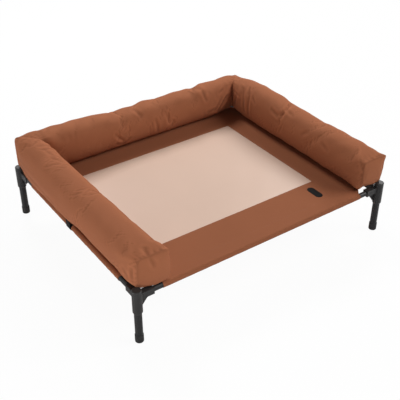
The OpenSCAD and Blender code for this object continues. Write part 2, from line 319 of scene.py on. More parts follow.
# %% Beige panel
BEIGE = (0.703, 0.504, 0.399, 1)
MESH_PITCH = 1.0 * MM
panel_finish = Finish("panel_mesh")
panel_finish.feed("Specular IOR Level", 0.2)
panel_across, panel_along = panel_finish.cloth_map()
panel_weave = basket(panel_across, panel_along, MESH_PITCH)
panel_drift = panel_finish.noise(panel_finish.places(), 5.0, 2.0)
panel_body = panel_finish.tint(panel_drift, shade(BEIGE, 0.95), shade(BEIGE, 1.04))
panel_finish.feed("Base Color", panel_finish.tint(panel_weave.size() * 0.35, panel_body, shade(BEIGE, 0.9)))
panel_finish.feed("Roughness", 0.30 + 0.10 * panel_weave.size())
panel_finish.bump(panel_weave, 0.05 * MM, 0.35)
print("panel finish", panel_finish.material.name)

# %% [markdown]
# The hard pieces: powder-coated tube with the faint orange peel of baked paint, corners in a charcoal
# plastic with the fine grain of a spark-eroded mould, and feet in a dull rubber that picks up dust.

# %% Tube, plastic and rubber
def grained(name, colour, rough, grain_per_metre, depth, dust, shine=0.25):
    """A dark hard finish with grain, and dust that lies in soft patches."""
    finish = Finish(name)
    finish.feed("Specular IOR Level", shine)
    where = finish.places()
    grain = finish.noise(where, grain_per_metre, 2.0)
    patch = finish.noise(where, 28.0, 4.0, 0.6)
    finish.feed("Base Color", finish.tint(patch * dust, colour, shade(colour, 1.9)))
    finish.feed("Roughness", rough - 0.06 + 0.12 * patch + 0.06 * grain)
    finish.bump(grain, depth, 0.6)
    return finish.material


tube_black = grained(
    "tube_steel", (0.022, 0.022, 0.0225, 1), rough=0.36, grain_per_metre=900.0, depth=0.04 * MM, dust=0.20)
corner_charcoal = grained(
    "corner_plastic", (0.029, 0.028, 0.028, 1), rough=0.40, grain_per_metre=1600.0, depth=0.05 * MM,
    dust=0.25)
foot_black = grained(
    "foot_rubber", (0.022, 0.0213, 0.0213, 1), rough=0.62, grain_per_metre=700.0, depth=0.06 * MM, dust=0.45)


def refinish(names, material):
    """Give carried-over solids a finish through their material slots."""
    for name in names:
        solid = solids[name]
        if not solid.material_slots:
            solid.data.materials.append(material)
        for place in solid.material_slots:
            place.material = material


CORNERS = [f"{end}_{side}" for end in ("front", "back") for side in ("left", "right")]
refinish([f"{side}_rail" for side in ("front", "back", "left", "right")], tube_black)
refinish([f"{corner}_leg" for corner in CORNERS], tube_black)
refinish([f"{corner}_corner" for corner in CORNERS], corner_charcoal)
refinish([f"{corner}_foot" for corner in CORNERS], foot_black)
print("hard finishes on", len(CORNERS) * 3 + 4, "solids")

# %% [markdown]
# Every sewn piece ends the same way: it takes its finish, rides on a body and stands for the solids that it
# replaces.
# A helper keeps that in one place, and another makes a mesh from points with a cloth map in metres, so that
# the weave keeps its scale.

# %% Helpers for sewn pieces
def cloth_mesh(name, points, faces, flat_map):
    """A mesh object at the origin. The map gives each face corner its place on the flat cloth, in metres."""
    mesh = bpy.data.meshes.new(name)
    mesh.from_pydata(np.asarray(points).tolist(), [], np.asarray(faces).tolist())
    layer = mesh.uv_layers.new(name="cloth")
    layer.data.foreach_set("uv", np.asarray(flat_map, dtype=np.float32).ravel())
    mesh.update()
    return put(name, mesh)


def only(piece):
    """Select one piece and make it active."""
    bpy.ops.object.select_all(action="DESELECT")
    piece.select_set(True)
    bpy.context.view_layer.objects.active = piece


def add_modifier(piece, kind, **settings):
    """Add a modifier with its settings and apply it."""
    modifier = piece.modifiers.new(kind.title(), kind)
    for setting, value in settings.items():
        setattr(modifier, setting, value)
    only(piece)
    bpy.ops.object.modifier_apply(modifier=modifier.name)


def dress(piece, body, slot, material, *replaced):
    """Finish a piece and tie it to the frame."""
    piece.data.materials.clear()
    piece.data.materials.append(material)
    only(piece)
    bpy.ops.object.shade_smooth_by_angle(angle=math.radians(40))
    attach(piece, body)
    if replaced:
        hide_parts(*replaced)
    print(piece.name, len(piece.data.polygons), "faces, for", ", ".join(replaced) or "itself")


# %% [markdown]
# The sling is one cloth cut with four slanting corners, so that the mouldings stay free, and a window for
# the panel. It starts as a grid, planes cut its outline exactly, and Solidify gives it its thickness
# downwards. A drum-tight cloth is never quite flat: a low relief of tension waves moves it by a quarter
# of a millimetre, enough for the light to find.

# %% Sling cloth
CLOTH = 0.8 * MM
SLING_TOP = 163.0 * MM
RAIL_X, RAIL_Y, RAIL_Z = 437 * MM, 361 * MM, 154 * MM
SLEEVE_X, SLEEVE_Y = 361 * MM, 275 * MM
PANEL_X, PANEL_Y = 582 * MM, 446 * MM
NOTCH_HALF, NOTCH_DEEP, NOTCH_SHIFT = 14 * MM, 11.05 * MM, 14 * MM


def tension(x, y):
    """Low waves of a stretched cloth, flat along the rails."""
    hold = (1 - (x / RAIL_X) ** 6) * (1 - (y / RAIL_Y) ** 6)
    waves = np.sin(31 * x + 9 * y + 0.6) + np.sin(17 * y - 12 * x + 2.0) + np.sin(52 * x - 41 * y)
    return 0.085 * MM * hold * waves


def cut_grid(width, depth, cells_x, cells_y, cuts):
    """A grid in bmesh, cut along planes given as (place, normal, whether the outside goes)."""
    cloth = bmesh.new()
    bmesh.ops.create_grid(cloth, x_segments=cells_x, y_segments=cells_y, size=0.5)
    bmesh.ops.scale(cloth, vec=(width, depth, 1), verts=cloth.verts)
    for place, normal, clear_outside in cuts:
        everything = cloth.verts[:] + cloth.edges[:] + cloth.faces[:]
        bmesh.ops.bisect_plane(cloth, geom=everything, plane_co=place, plane_no=normal,
                               clear_outer=clear_outside)
    return cloth


def drop_faces(cloth, low, high):
    """Remove the faces inside a rectangle."""
    inside = [
        face for face in cloth.faces
        if all(l < c < h for l, c, h in zip(low, face.calc_center_median(), high))
    ]
    bmesh.ops.delete(cloth, geom=inside, context="FACES")


def lay_flat(cloth, name, top):
    """Turn a cut grid into a piece with its map, at a height, with the tension waves on it."""
    for vert in cloth.verts:
        vert.co.z = top + float(tension(vert.co.x, vert.co.y))
    layer = cloth.loops.layers.uv.new("cloth")
    for face in cloth.faces:
        for loop in face.loops:
            loop[layer].uv = loop.vert.co.xy
    bmesh.ops.recalc_face_normals(cloth, faces=cloth.faces)
    mesh = bpy.data.meshes.new(name)
    cloth.to_mesh(mesh)
    cloth.free()
    piece = put(name, mesh)
    if mesh.polygons[0].normal.z < 0:
        mesh.flip_normals()
    return piece


slant = (RAIL_Y - SLEEVE_Y, RAIL_X - SLEEVE_X)
cuts = []
for sx in (-1, 1):
    for sy in (-1, 1):
        cuts.append(((sx * SLEEVE_X, sy * RAIL_Y, 0), (sx * slant[0], sy * slant[1], 0), True))
    cuts.append(((sx * PANEL_X / 2, 0, 0), (1, 0, 0), False))
    cuts.append(((0, sx * PANEL_Y / 2, 0), (0, 1, 0), False))
    cuts.append(((sx * (RAIL_X - NOTCH_DEEP), 0, 0), (1, 0, 0), False))
    cuts.append(((0, NOTCH_SHIFT + sx * NOTCH_HALF, 0), (0, 1, 0), False))
    cuts.append(((sx * NOTCH_HALF, 0, 0), (1, 0, 0), False))
cuts.append(((0, RAIL_Y - NOTCH_DEEP, 0), (0, 1, 0), False))
sling_grid = cut_grid(2 * RAIL_X, 2 * RAIL_Y, 96, 80, cuts)
drop_faces(sling_grid, (-PANEL_X / 2, -PANEL_Y / 2, -1), (PANEL_X / 2, PANEL_Y / 2, 1))
for sx in (-1, 1):
    left_x, right_x = sorted((sx * (RAIL_X - NOTCH_DEEP), sx * RAIL_X))
    drop_faces(sling_grid, (left_x, NOTCH_SHIFT - NOTCH_HALF, -1), (right_x, NOTCH_SHIFT + NOTCH_HALF, 1))
drop_faces(sling_grid, (-NOTCH_HALF, RAIL_Y - NOTCH_DEEP, -1), (NOTCH_HALF, RAIL_Y, 1))
sling = lay_flat(sling_grid, "sling_cloth", SLING_TOP)
add_modifier(sling, "SOLIDIFY", thickness=CLOTH, offset=-1)
dress(sling, "frame", "sling_cloth", sling_brown_painted_darker, "sling_border")

# %% [markdown]
# The panel is sewn under the edge of the window, so its own edge is hidden and its top lies one cloth
# thickness lower. It shares the tension waves of the sling.

# %% Centre panel
PANEL_LAP = 10 * MM
panel_grid = cut_grid(PANEL_X + 2 * PANEL_LAP, PANEL_Y + 2 * PANEL_LAP, 80, 64, [])
panel = lay_flat(panel_grid, "centre_panel_mesh", SLING_TOP - CLOTH)
add_modifier(panel, "SOLIDIFY", thickness=CLOTH, offset=-1)
dress(panel, "frame", "panel_mesh", panel_finish.material, "centre_panel")

# %% [markdown]
# Along each rail the cloth goes over the tube, round its outside and back under the sling, where it is
# sewn down. A strip of the flat cloth is rolled along that line. Small ripples run round the tube where
# the cloth is pulled, and the cut ends are not quite straight.

# %% Sleeves round the rails
SLEEVE_R = 9.0 * MM
HEM_SLOPE = math.radians(30)
HEM_STRIP = 10 * MM
BEND_STEPS = 40
SLEEVE_ROW = 3.5 * MM
FRAY = 1.0 * MM


def sleeve_line():
    """Places (in, up) on the outer face of a sleeve, from the crown round to the hem."""
    turn = np.radians(np.linspace(90, 270 + math.degrees(HEM_SLOPE), BEND_STEPS))
    bend = SLEEVE_R * np.stack([np.cos(turn), np.sin(turn)], 1)
    under = SLEEVE_R - 2 * CLOTH
    reach = (under - bend[-1, 1]) / math.tan(HEM_SLOPE)
    meet = np.array([bend[-1, 0] + reach, under])
    rise = bend[-1] + (meet - bend[-1]) * np.linspace(0, 1, 9)[1:, None]
    strip = meet + np.stack([np.linspace(0, HEM_STRIP, 4)[1:], np.zeros(3)], 1)
    return np.concatenate([bend, rise, strip])


def rolled_sleeve(name, start, end, place, seed, ripple):
    """A sleeve between two distances along its rail. The place turns (along, in, up) into a point."""
    line = sleeve_line()
    rows = max(2, round((end - start) / SLEEVE_ROW))
    travelled = np.concatenate([[0], np.cumsum(np.hypot(*np.diff(line, axis=0).T))])
    share = travelled / travelled[-1]
    step = np.gradient(line, axis=0)
    out = np.stack([step[:, 1], -step[:, 0]], 1)
    out /= np.linalg.norm(out, axis=1, keepdims=True)
    side = BEND_STEPS // 2
    if out[side] @ line[side] < 0:
        out = -out
    rng = np.random.default_rng(seed)
    phases = rng.uniform(0, FULL_TURN, 6)
    lengths = rng.uniform(14, 60, 6) * MM
    along = np.linspace(start, end, rows + 1)
    swell = np.sin(np.pi * np.clip(share / 0.75, 0, 1)) ** 1.5
    points = []
    for row, s in enumerate(along):
        wave = sum(math.sin(FULL_TURN * s / l + p) for l, p in zip(lengths, phases)) / 6
        tilt = sum(math.sin(FULL_TURN * s / l - 2 * p) for l, p in zip(lengths, phases)) / 6
        lift = ripple * swell * np.clip(0.45 + wave + 0.6 * tilt * (share - 0.4), 0, 2)
        section = line + out * lift[:, None]
        shift = FRAY * ((row == rows) - (row == 0))
        frayed = s + shift * np.sin(9 * share + seed)
        points.extend(place(at, *spot) for at, spot in zip(frayed, section))
    columns = len(line)
    faces = []
    flat_map = []
    for row in range(rows):
        for k in range(columns - 1):
            a = row * columns + k
            faces.append((a, a + 1, a + columns + 1, a + columns))
            low, high = along[row], along[row + 1]
            near, far = travelled[k], travelled[k + 1]
            flat_map += [(near, low), (far, low), (far, high), (near, high)]
    piece = cloth_mesh(name, points, faces, flat_map)
    mesh = piece.data
    middle = (len(mesh.polygons) // 2 // (columns - 1)) * (columns - 1) + side
    outward = np.array(place(0, *out[side])) - np.array(place(0, 0, 0))
    if np.dot(mesh.polygons[middle].normal, outward) < 0:
        mesh.flip_normals()
    add_modifier(piece, "SOLIDIFY", thickness=CLOTH, offset=-1)
    return piece, float(travelled[-1])


def along_front(side):
    """Places on the front rail, or on the back one."""
    return lambda s, inward, up: (s, side * (RAIL_Y - inward), RAIL_Z + up)


def along_side(side):
    """Places on the left rail or the right one."""
    return lambda s, inward, up: (side * (RAIL_X - inward), s, RAIL_Z + up)


NOTCH_LOW, NOTCH_HIGH = NOTCH_SHIFT - NOTCH_HALF, NOTCH_SHIFT + NOTCH_HALF
sleeves = [
    ("front_sleeve", -SLEEVE_X, SLEEVE_X, along_front(-1), 0.35 * MM),
    ("back_left_sleeve", -SLEEVE_X, -NOTCH_HALF, along_front(1), 0.5 * MM),
    ("back_right_sleeve", NOTCH_HALF, SLEEVE_X, along_front(1), 0.5 * MM),
    ("left_front_sleeve", -SLEEVE_Y, NOTCH_LOW, along_side(-1), 0.9 * MM),
    ("left_back_sleeve", NOTCH_HIGH, SLEEVE_Y, along_side(-1), 0.9 * MM),
    ("right_front_sleeve", -SLEEVE_Y, NOTCH_LOW, along_side(1), 0.9 * MM),
    ("right_back_sleeve", NOTCH_HIGH, SLEEVE_Y, along_side(1), 0.9 * MM),
]
for number, (node, start, end, place, ripple) in enumerate(sleeves):
    sleeve, girth = rolled_sleeve(node + "_cloth", start, end, place, number, ripple)
    dress(sleeve, "frame", "sling_cloth", sling_brown_painted_darker, node)
    end - start

# %% [markdown]
# Small hard-edged pieces are modelled as by hand: a primitive at its size and place, shaped in edit mode
# and finished with a bevel. Faces and edges are picked in code, by their place.

# %% Helpers for modelled pieces
def new_box(name, low, high):
    """A box between two corners, at the origin, with its place in its mesh."""
    box = primitive(bpy.ops.mesh.primitive_cube_add, name, size=1)
    for vert in box.data.vertices:
        for axis in range(3):
            vert.co[axis] = low[axis] if vert.co[axis] < 0 else high[axis]
    return box


def face_outwards(piece):
    """Turn all faces of a piece to its outside."""
    only(piece)
    bpy.ops.object.mode_set(mode="EDIT")
    bpy.ops.mesh.select_all(action="SELECT")
    bpy.ops.mesh.normals_make_consistent(inside=False)
    bpy.ops.object.mode_set(mode="OBJECT")


def join_pieces(pieces, name):
    """Join several objects into one."""
    bpy.ops.object.select_all(action="DESELECT")
    for piece in pieces:
        piece.select_set(True)
    bpy.context.view_layer.objects.active = pieces[0]
    bpy.ops.object.join()
    joined = bpy.context.object
    joined.name = name
    return joined


# Half length of a stitch to its pitch, and its height to its width
STITCH_SHARE, STITCH_FLAT = 0.40, 0.7


def stitch_rows(name, rows, radius, pitch):
    """Rows of sewing thread as one mesh. A row is (start, end, up): short stitches lie along it."""
    pattern = primitive(bpy.ops.mesh.primitive_uv_sphere_add, "stitch", segments=6, ring_count=5, radius=1)
    shape = np.array([vert.co for vert in pattern.data.vertices])
    sides = sorted(tuple(face.vertices) for face in pattern.data.polygons)
    bpy.data.objects.remove(pattern)
    points = []
    faces = []
    for start, end, up in rows:
        start, end, up = np.array(start), np.array(end), np.array(up)
        length = np.linalg.norm(end - start)
        along = (end - start) / length
        across = np.cross(up, along)
        count = max(1, int(length / pitch))
        for stitch in range(count):
            middle = start + along * (stitch + 0.5) * length / count
            base = len(points)
            placed = middle + np.outer(shape[:, 0], along) * pitch * STITCH_SHARE
            placed = placed + np.outer(shape[:, 1], across) * radius
            placed = placed + np.outer(shape[:, 2], up) * radius * STITCH_FLAT
            points.extend(placed.tolist())
            faces.extend(tuple(base + k for k in side) for side in sides)
    mesh = bpy.data.meshes.new(name)
    mesh.from_pydata(points, [], faces)
    mesh.update()
    return put(name, mesh)


# %% [markdown]
# The label is an oval rubber patch, left bare: a cylinder pulled apart into an oval, with an inset that
# sinks to leave a rim.

# %% Bare label patch
LABEL_X, LABEL_Y = 256 * MM, -276 * MM
LABEL_LENGTH, LABEL_WIDTH, LABEL_RISE = 60 * MM, 25 * MM, 0.8 * MM
RIM_EDGE, RIM_WIDTH, RIM_SLOPE, RIM_SINK = 0.5 * MM, 1.4 * MM, 0.5 * MM, 0.35 * MM


def label_patch():
    """The oval patch with its rim, in its place on the sling."""
    patch = primitive(bpy.ops.mesh.primitive_cylinder_add, "label_rubber", vertices=64,
                      radius=LABEL_WIDTH / 2, depth=LABEL_RISE)
    spread = (LABEL_LENGTH - LABEL_WIDTH) / 2
    for vert in patch.data.vertices:
        vert.co.y += math.copysign(spread, vert.co.y) if abs(vert.co.y) > 1e-6 else 0
        vert.co.x += LABEL_X
        vert.co.y += LABEL_Y
        vert.co.z += SLING_TOP + LABEL_RISE / 2
    for face in patch.data.polygons:
        face.select = face.normal.z > 0.9
    bpy.ops.object.mode_set(mode="EDIT")
    bpy.ops.mesh.select_mode(type="FACE")
    for width in (RIM_EDGE, RIM_WIDTH, RIM_SLOPE):
        bpy.ops.mesh.inset(thickness=width)
    bpy.ops.transform.translate(value=(0, 0, -RIM_SINK))
    bpy.ops.object.mode_set(mode="OBJECT")
    add_modifier(patch, "BEVEL", width=0.15 * MM, segments=2, limit_method="ANGLE")
    return patch


label_finish = grained(
    "label_rubber", (0.010, 0.0095, 0.0095, 1), rough=0.5, grain_per_metre=1200.0, depth=0.03 * MM, dust=0.2,
    shine=0.04)
dress(label_patch(), "frame", "label_rubber", label_finish, "label_patch")

# %% [markdown]
# Straps hold the bolster: a loop of webbing round the rail, where the sleeve is cut away, and a tab sewn
# under the bolster that closes on it. Webbing is a thick ribbed weave with rounded edges.

# %% Webbing
RIB_PITCH = 1.3 * MM
webbing_finish = Finish("webbing", base_color=(0.011, 0.010, 0.010, 1))
webbing_finish.feed("Specular IOR Level", 0.08)
web_place = webbing_finish.node("ShaderNodeSeparateXYZ", None, {0: webbing_finish.places()})
web_axes = [Wire(webbing_finish, axis) for axis in web_place.socket.node.outputs]
web_parts = [axis * (math.pi / RIB_PITCH) for axis in web_axes]
ribs = web_parts[0].sine() * web_parts[2].sine() + web_parts[1].sine() * web_parts[2].sine()
webbing_finish.feed("Roughness", 0.62 + 0.1 * ribs)
webbing_finish.bump(ribs, 0.15 * MM, 0.8)

STRAP_W, STRAP_T = 25 * MM, 1.5 * MM
WRAP_R = 9.55 * MM


def rail_loop(name, middle, axis):
    """A webbing loop round a rail."""
    loop = primitive(bpy.ops.mesh.primitive_cylinder_add, name, vertices=64, radius=WRAP_R, depth=STRAP_W,
                     end_fill_type="NOTHING")
    for vert in loop.data.vertices:
        x, y, z = vert.co
        vert.co = (z, x, y) if axis == 0 else (y, z, x)
        vert.co += Vector(middle)
    face_outwards(loop)
    outward = loop.data.polygons[0].center - Vector(middle)
    if loop.data.polygons[0].normal.dot(outward) < 0:
        loop.data.flip_normals()
    add_modifier(loop, "SOLIDIFY", thickness=STRAP_T, offset=-1)
    add_modifier(loop, "BEVEL", width=0.5 * MM, segments=3, limit_method="ANGLE")
    return loop


def strap_tab(name, node, axis, rail):
    """A tab of webbing in the space of its solid. Its free end follows the rail round."""
    low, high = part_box(node)
    tab = new_box(name, low, high)
    bpy.ops.object.mode_set(mode="EDIT")
    bpy.ops.mesh.select_all(action="SELECT")
    bpy.ops.mesh.subdivide(number_cuts=11)
    bpy.ops.object.mode_set(mode="OBJECT")
    for vert in tab.data.vertices:
        from_rail = vert.co[axis] - rail
        turn = max(0, RAIL_Z - vert.co.z) / abs(from_rail)
        vert.co[axis] = rail + from_rail * math.cos(turn)
        vert.co.z = max(vert.co.z, RAIL_Z) - abs(from_rail) * math.sin(turn)
    add_modifier(tab, "BEVEL", width=0.6 * MM, segments=3, limit_method="ANGLE", angle_limit=1.0)
    return tab


WRAPS = [("left", -RAIL_X, NOTCH_SHIFT, 1), ("right", RAIL_X, NOTCH_SHIFT, 1), ("back", 0, RAIL_Y, 0)]
for side, x, y, axis in WRAPS:
    wrap = rail_loop(f"{side}_rail_webbing", (x, y, RAIL_Z), axis)
    dress(wrap, "frame", "webbing", webbing_finish.material, f"{side}_rail_wrap")
for side, axis, rail in (("left", 0, -RAIL_X), ("right", 0, RAIL_X), ("back", 1, RAIL_Y)):
    tab = strap_tab(f"{side}_tab_webbing", f"{side}_strap_tab", axis, rail)
    dress(tab, "bolster", "webbing", webbing_finish.material, f"{side}_strap_tab")

# %% [markdown]
# The slanting corners of the sling are bound with tape underneath, which keeps the cut cloth from
# fraying: thin boxes turned along each cut, with their edges rounded.

# %% Corner tapes
TAPE_W, TAPE_MARGIN = 10 * MM, 12 * MM
tape_finish = brown_cloth("binding_tape", BROWN, False)


def corner_tape(sx, sy):
    """A tape under one cut corner, with its map."""
    start = np.array([sx * SLEEVE_X, sy * RAIL_Y])
    run = np.array([sx * (RAIL_X - SLEEVE_X), -sy * (RAIL_Y - SLEEVE_Y)])
    length = np.linalg.norm(run)
    run = run / length
    inward = np.array([-run[1], run[0]])
    if inward @ start > 0:
        inward = -inward
    under = SLING_TOP - CLOTH
    tape = new_box("tape", (TAPE_MARGIN, 0, under - CLOTH), (length - TAPE_MARGIN, TAPE_W, under))
    for vert in tape.data.vertices:
        vert.co.xy = start + run * vert.co.x + inward * vert.co.y
    face_outwards(tape)
    add_modifier(tape, "BEVEL", width=0.25 * MM, segments=2, limit_method="ANGLE")
    tape.data.uv_layers[0].name = "cloth"
    for loop in tape.data.loops:
        tape.data.uv_layers[0].data[loop.index].uv = tape.data.vertices[loop.vertex_index].co.xy
    return tape


tapes = join_pieces([corner_tape(sx, sy) for sx in (-1, 1) for sy in (-1, 1)], "corner_tapes")
dress(tapes, "frame", "binding_tape", tape_finish, "corner_bindings")

# %% [markdown]
# Tone-on-tone thread: one row round the window holds the panel, and one row along the front holds the
# hem of the sleeve. Each stitch is a tiny stretched ball, copied along its row.

# %% Sling stitching
thread_finish = Finish("thread", base_color=shade(BROWN, 0.8), roughness=0.55)
thread_finish.bump(thread_finish.noise(thread_finish.places(), 2500.0), 0.05 * MM)
STITCH, THREAD_R = 4.2 * MM, 0.30 * MM
WINDOW_ROW, HEM_ROW, ROW_PART = 4 * MM, 36 * MM, 20 * MM
window_x, window_y = PANEL_X / 2 + WINDOW_ROW, PANEL_Y / 2 + WINDOW_ROW
window = [(-window_x, -window_y), (window_x, -window_y), (window_x, window_y), (-window_x, window_y)]
UP = (0, 0, 1)


def sling_row(first, second):
    """A row on top of the sling, in short lengths that follow its waves."""
    first, second = np.array(first), np.array(second)
    parts = max(1, round(np.linalg.norm(second - first) / ROW_PART))
    spots = [first + (second - first) * k / parts for k in range(parts + 1)]
    heights = [SLING_TOP + float(tension(*spot)) for spot in spots]
    ends = [(*spot, height) for spot, height in zip(spots, heights)]
    return [(a, b, UP) for a, b in zip(ends, ends[1:])]


rows = []
for first, second in zip(window, window[1:] + window[:1]):
    rows += sling_row(first, second)
hem = RAIL_Y - HEM_ROW
rows += sling_row((-SLEEVE_X, -hem), (SLEEVE_X, -hem))
stitching = stitch_rows("sling_stitching", rows, THREAD_R, STITCH)
dress(stitching, "frame", "sling_cloth", thread_finish.material)

# %% [markdown]
# The bolster is one stuffed tube, sewn at the two mitred back corners and closed by a panel at each front
# end. It is built as rings of a squared oval along the three sides. A cushion is never even: a short list
# for each side says how far it reaches in and out and how high it stands, as measured on the photograph,
# with the hump and the kink of the right side, the two dents of the back and the drawn-in corners.

# %% Bolster rings
AROUND = 72
CELL = 5.2 * MM
BOLSTER_X, BOLSTER_Y = 405 * MM, 329 * MM
BOLSTER_FRONT = -362 * MM
BASE, MIDDLE = 163.8 * MM, 225 * MM
SIDE_RUN, BACK_RUN = BOLSTER_Y - BOLSTER_FRONT, 2 * BOLSTER_X
SIDE_ROWS, BACK_ROWS = round(SIDE_RUN / CELL), round(BACK_RUN / CELL)
RIGHT, BACK, LEFT = 0, 1, 2
# Place along the run, reach in, reach out and crest, all in mm
SHAPE = {
    RIGHT: [(0, 36, 52, 272), (15, 44, 51, 277), (40, 50, 49, 288), (76, 50, 49, 292), (157, 49, 48, 293),
            (237, 49, 48, 287), (318, 48, 47, 289), (380, 48, 47, 288), (406, 47, 47, 288),
            (430, 48, 48, 294), (480, 49, 48, 295), (530, 50, 49, 299), (600, 46, 47, 289),
            (660, 40, 42, 280), (689, 36, 37, 283)],
    BACK: [(0, 36, 37, 283), (20, 39, 40, 285), (55, 42, 46, 286), (85, 45, 48, 285), (105, 46, 48, 284),
           (128, 46, 48, 286), (150, 45, 47, 288), (170, 45, 46, 291), (192, 44, 45, 279), (215, 44, 45, 286),
           (260, 45, 46, 288), (302, 45, 46, 286), (329, 45, 47, 284), (351, 45, 47, 285), (375, 45, 47, 289),
           (397, 45, 47, 290), (420, 45, 47, 284), (439, 45, 47, 284), (470, 45, 47, 285), (500, 44, 46, 283),
           (554, 46, 49, 292), (577, 46, 49, 294), (646, 47, 50, 298), (700, 48, 51, 299), (770, 46, 48, 298),
           (810, 40, 39, 290)],
    LEFT: [(0, 72, 28, 265), (12, 74, 34, 270), (25, 71, 40, 277), (60, 62, 47, 285), (150, 57, 48, 287),
           (400, 53, 48, 286), (560, 51, 49, 286), (640, 47, 47, 291), (689, 40, 39, 290)],
}
# Squareness of the quarters of a ring, 2 for an ellipse
TOP_IN = {RIGHT: 2.9, BACK: 2.8, LEFT: 3.6}
TOP_OUT = {RIGHT: 3.6, BACK: 3.6, LEFT: 2.8}
LOW_IN = {RIGHT: 3.0, BACK: 2.3, LEFT: 3.0}
LOW_OUT = 2.8
# What they come to at an end, or gain there
END_TOP_IN = 8
END_TOP_OUT, END_LOW_IN, END_LOW_OUT = 4.0, 3.0, {RIGHT: 4.7, BACK: 1.7, LEFT: 1.7}
# What the top in, the top out and the low out quarter gain at a mitre
LEFT_MITRE, RIGHT_MITRE = (1.5, 4.0, 3.5), (0.5, -1.2, 0.0)
END_LIFT = {RIGHT: 7 * MM, BACK: 0.0, LEFT: 0.0}
MITRE_LIFT = 8 * MM
RIGHT_MITRE_SHIFT = np.array([-5, 5, 0]) * MM
POST_LIFT = 21 * MM
INNER_LIFT = 24 * MM
CORNER_SAG = 10 * MM
EAR_OUT, EAR_UP = {RIGHT: 8.5 * MM, LEFT: 6 * MM, BACK: 0.0}, 3 * MM
PANEL_BULGE = 6 * MM
PINCH = 8 * MM
RAIL_CLEAR = 5 * MM
FOOT_DRAW, TOP_LEAN = 0.22, 0.12
# How far from an end or a mitre each effect reaches
END_REACH, END_LOW_REACH, END_LIFT_REACH, EAR_REACH = 55 * MM, 90 * MM, 12 * MM, 22 * MM
MITRE_REACH, CORNER_REACH, PINCH_REACH, SHIFT_REACH = 100 * MM, 60 * MM, 24 * MM, 120 * MM
POST_REACH = 9 * MM
# Where the left side starts to hang over the rail, and over what length
HANG_START, HANG_LENGTH = 290 * MM, 110 * MM
# Further from an end than any of its effects reach
FAR = 1.0


def ease(t):
    """0 to 1 with soft ends."""
    t = np.clip(t, 0, 1)
    return t * t * (3 - 2 * t)


def close_to(distance, reach):
    """1 at a seam, smoothly down to 0 at its reach."""
    return 1 - ease(distance / reach)


def shape_at(run, s):
    """Reach in, reach out and crest at a place, averaged over a short length."""
    rows = np.array(SHAPE[run], float) * MM
    spread = np.clip(s + np.linspace(-14, 14, 9) * MM, rows[0, 0], rows[-1, 0])
    return [float(np.interp(spread, rows[:, 0], rows[:, k]).mean()) for k in (1, 2, 3)]


def squared_oval(inner, outer, low, high, powers):
    """Even steps round a section: how far out and how high. Each quarter has its own squareness."""
    angle = np.linspace(0, 2 * np.pi, 1441)
    c, s = np.cos(angle), np.sin(angle)
    top_in, top_out, low_in, low_out = powers
    power = np.where(s > 0, np.where(c > 0, top_out, top_in), np.where(c > 0, low_out, low_in))
    out = np.sign(c) * np.abs(c) ** (2 / power) * np.where(c > 0, outer, inner)
    height = np.where(s > 0, high - MIDDLE, MIDDLE - low)
    up = MIDDLE + np.sign(s) * np.abs(s) ** (2 / power) * height
    travelled = np.concatenate([[0], np.cumsum(np.hypot(np.diff(out), np.diff(up)))])
    want = travelled[-1] * np.arange(AROUND) / AROUND
    return np.interp(want, travelled, out), np.interp(want, travelled, up)


def bolster_section(run, s, to_end, to_mitre):
    """One ring: squared at the ends, drawn in at the mitres, with a pointed ear at each end."""
    inner, outer, high = shape_at(run, s)
    end, mitre = close_to(to_end, END_REACH), close_to(to_mitre, MITRE_REACH)
    low = BASE + max(END_LIFT[run] * close_to(to_end, END_LIFT_REACH), MITRE_LIFT * mitre)
    corner = close_to(to_mitre, CORNER_REACH)
    hang = ease((s - HANG_START) / HANG_LENGTH) if run == LEFT else corner
    at_left = run == LEFT or (run == BACK and s > BACK_RUN / 2)
    mitre_top_in, mitre_top_out, mitre_low_out = LEFT_MITRE if at_left else RIGHT_MITRE
    powers = (
        TOP_IN[run] + (END_TOP_IN - TOP_IN[run]) * end + mitre_top_in * corner,
        TOP_OUT[run] + END_TOP_OUT * end + mitre_top_out * corner,
        LOW_IN[run] + END_LOW_IN * end,
        LOW_OUT + END_LOW_OUT[run] * close_to(to_end, END_LOW_REACH) + mitre_low_out * hang)
    out, up = squared_oval(inner, outer, low, high, powers)
    pinch = np.exp(-((np.arange(AROUND) / AROUND - 0.5) / 0.16) ** 2)
    out = out + PINCH * close_to(to_mitre, PINCH_REACH) * pinch
    down = np.clip((MIDDLE - up) / (MIDDLE - low), 0, 1)
    above = np.clip((up - MIDDLE) / (high - MIDDLE), 0, 1)
    if run == RIGHT:
        # The foot of the right end draws in, and its inner half lifts off the sling
        out = out * (1 - FOOT_DRAW * end * down * (out > 0))
        slope = np.clip((37 * MM - out) / (73 * MM), 0, 1)
        reach = 14 * MM + 22 * MM * ease((out + 34 * MM) / (22 * MM))
        up = up + INNER_LIFT * close_to(to_end, reach) * down * slope
    if run == LEFT:
        # The left end leans back at the top, and its outer half lies on the post
        out = out * (1 - TOP_LEAN * end * above * (out < 0))
        up = up + POST_LIFT * close_to(to_end, POST_REACH) * down * ease((out + 26 * MM) / (60 * MM))
    side, reach = (1, outer) if run == RIGHT else (-1, 0.88 * inner)
    ear = close_to(to_end, EAR_REACH) * ease((side * out / reach - 0.75) / 0.25) * ease(above * 2 - 0.9)
    return out + side * EAR_OUT[run] * ear, up + EAR_UP * ear


def open_corner(points):
    """1 over the open front left corner, beyond the slanting edge of the sling, and 0 elsewhere."""
    x, y = -points[..., 0], -points[..., 1]
    beyond = (x - SLEEVE_X) / (RAIL_X - SLEEVE_X) + (y - SLEEVE_Y) / (RAIL_Y - SLEEVE_Y) - 1
    off_rails = ease((RAIL_X - RAIL_CLEAR - x) / (8 * MM)) * ease((RAIL_Y - RAIL_CLEAR - y) / (6 * MM))
    return ease(beyond / 0.16) * off_rails


